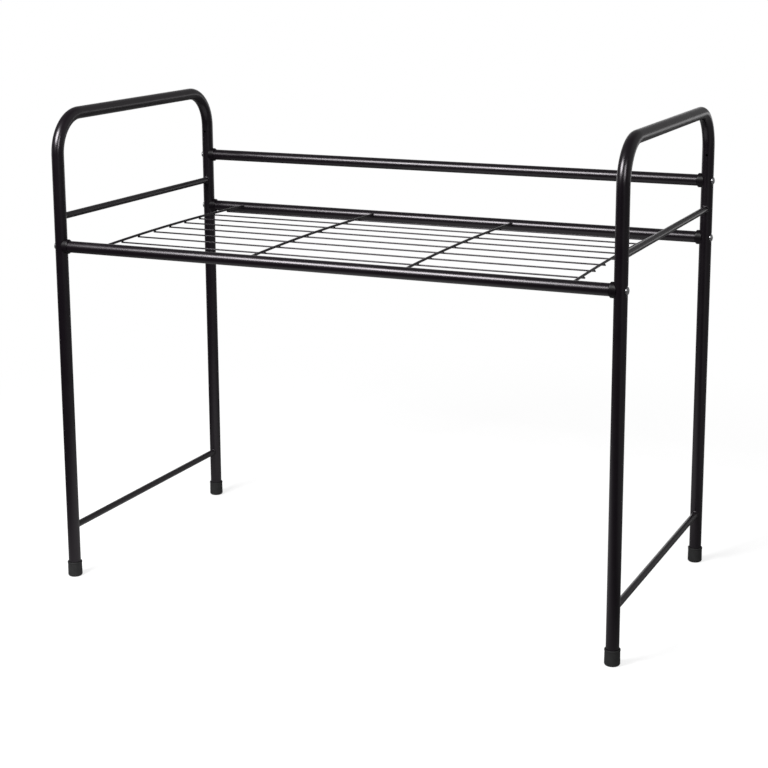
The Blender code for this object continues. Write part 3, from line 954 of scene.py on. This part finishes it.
def floor_material():
    """Pale floor that turns plain white further off, and looks dimmer where the coat mirrors it:
    painted light round the object and painted shade further off, for mirrored rays only.
    """
    material, tree, _ = new_material("pale_floor")
    tree.nodes.clear()
    place = own_place(tree)
    white = (1, 1, 1, 1)
    pale = add_node(tree, "ShaderNodeBsdfDiffuse", {"Color": (*FLOOR_PALE, 1)})
    lift = add_node(tree, "ShaderNodeEmission", {"Color": white, "Strength": FLOOR_LIFT})
    lit = add_node(tree, "ShaderNodeAddShader", {0: pale.outputs[0], 1: lift.outputs[0]})
    plain = add_node(tree, "ShaderNodeEmission", {"Color": white, "Strength": WHITE})
    reach = separation(tree, place, (0, 0, 0))
    seen = add_node(tree, "ShaderNodeMixShader", {
        0: falling(tree, reach, FLOOR_LIT_REACH, FLOOR_LIT_SHARE, 0),
        1: plain.outputs[0],
        2: lit.outputs[0],
    })

    # Painted light and shade for mirrored rays only: a painted pool of light round the object,
    # painted shade further off, and lighter painted light behind and to the right
    off = separation(tree, place, FLOOR_PAINTED_POOL_CENTRE)
    depth = component(tree, place, -to_camera())
    aside = component(tree, place, to_right())
    near = falling(tree, off, FLOOR_PAINTED_POOL_REACH, FLOOR_PAINTED_POOL_PALE, FLOOR_PAINTED_SHADE_DIM)
    behind = falling(tree, depth, FLOOR_PAINTED_BEHIND_REACH, 0, FLOOR_PAINTED_BEHIND_LIGHT)
    right = falling(tree, aside, FLOOR_PAINTED_RIGHT_REACH, 0, FLOOR_PAINTED_RIGHT_LIGHT)
    painted_light_tone = larger(tree, near, larger(tree, right, behind))
    painted_reflection = add_node(tree, "ShaderNodeBsdfDiffuse", {"Color": painted_light_tone})

    direct, is_glossy = ray_kinds(tree)
    backdrop = falling(tree, depth, FLOOR_BACKDROP_REACH, 0, 1)
    glossy = add_node(tree, "ShaderNodeMath", {0: is_glossy, 1: backdrop}, operation="MULTIPLY")
    mixed = add_node(tree, "ShaderNodeMixShader", {
        0: larger(tree, direct, glossy.outputs[0]),
        1: painted_reflection.outputs[0],
        2: seen.outputs[0],
    })
    add_node(tree, "ShaderNodeOutputMaterial", {"Surface": mixed.outputs[0]})
    # Light samples go to the softboxes, since the floor's own glow is only for rays that see it.
    material.cycles.emission_sampling = "NONE"
    return material


def build_world():
    """White behind the object, an even dome that lights it, and a dim surround for the coat."""
    world = bpy.data.worlds.new("studio")
    world.use_nodes = True
    tree = world.node_tree
    tree.nodes.clear()
    way = add_node(tree, "ShaderNodeTexCoord", {}).outputs["Generated"]
    facing = component(tree, way, to_camera())
    across = component(tree, way, to_right())
    flank = falling(tree, across, SURROUND_RIGHT_REACH, SURROUND_BESIDE, SURROUND_RIGHT)
    backdrop = falling(tree, facing, BACKDROP_REACH, WHITE, SURROUND_BEHIND)
    beside = falling(tree, facing, SURROUND_BEHIND_REACH, backdrop, flank)
    surround = falling(tree, facing, SURROUND_FRONT_REACH, beside, SURROUND_FRONT)
    direct, is_glossy = ray_kinds(tree)
    lit = blend_value(tree, is_glossy, DOME_STRENGTH, surround)
    shown = blend_value(tree, direct, lit, WHITE)
    sky = add_node(tree, "ShaderNodeBackground", {"Color": (1, 1, 1, 1), "Strength": shown})
    add_node(tree, "ShaderNodeOutputWorld", {"Surface": sky.outputs[0]})
    world.cycles.sampling_method = "NONE"
    bpy.context.scene.world = world


def build_softboxes():
    for name, (place, aim, size, power) in SOFTBOXES.items():
        data = bpy.data.lights.new(name, "AREA")
        data.shape = "RECTANGLE"
        data.size, data.size_y = size
        data.energy = power
        lamp = add_object(name, data)
        facing = (Vector(aim) - Vector(place)).to_track_quat("-Z", "Y").to_matrix().to_4x4()
        lamp.matrix_world = Matrix.Translation(place) @ facing
        lamp.visible_camera = False


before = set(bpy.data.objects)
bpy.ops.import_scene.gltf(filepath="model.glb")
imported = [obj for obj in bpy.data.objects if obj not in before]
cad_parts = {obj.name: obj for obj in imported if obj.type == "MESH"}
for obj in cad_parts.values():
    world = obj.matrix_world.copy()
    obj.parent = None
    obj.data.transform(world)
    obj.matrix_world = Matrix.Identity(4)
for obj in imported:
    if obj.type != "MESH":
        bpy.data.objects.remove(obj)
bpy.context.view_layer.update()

build_camera()
build_floor()
build_world()
build_softboxes()
bpy.context.scene.view_settings.view_transform = "Standard"

tube_coat = coating("black_gloss_coat", *TUBE_COAT)
wire_coat = coating("black_wire_coat", *WIRE_COAT)
cap_plastic = moulded("black_cap_plastic", *CAP_PLASTIC, CAP_GRAIN, CAP_GRAIN_BUMP)
foot_rubber = moulded("black_foot_rubber", *FOOT_RUBBER, FOOT_GRAIN, FOOT_GRAIN_BUMP)
bright_steel = plated_steel("plated_screw_steel")

build_side_tubes(tube_coat)
build_side_rods(tube_coat)
build_rails(tube_coat)
build_end_caps(cap_plastic)
build_screws(bright_steel)
build_feet(foot_rubber)
build_deck(wire_coat)
for rail, side_name in RAIL_ENDS:
    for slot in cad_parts[f"{rail}_{side_name}_nut"].material_slots:
        slot.material = bright_steel
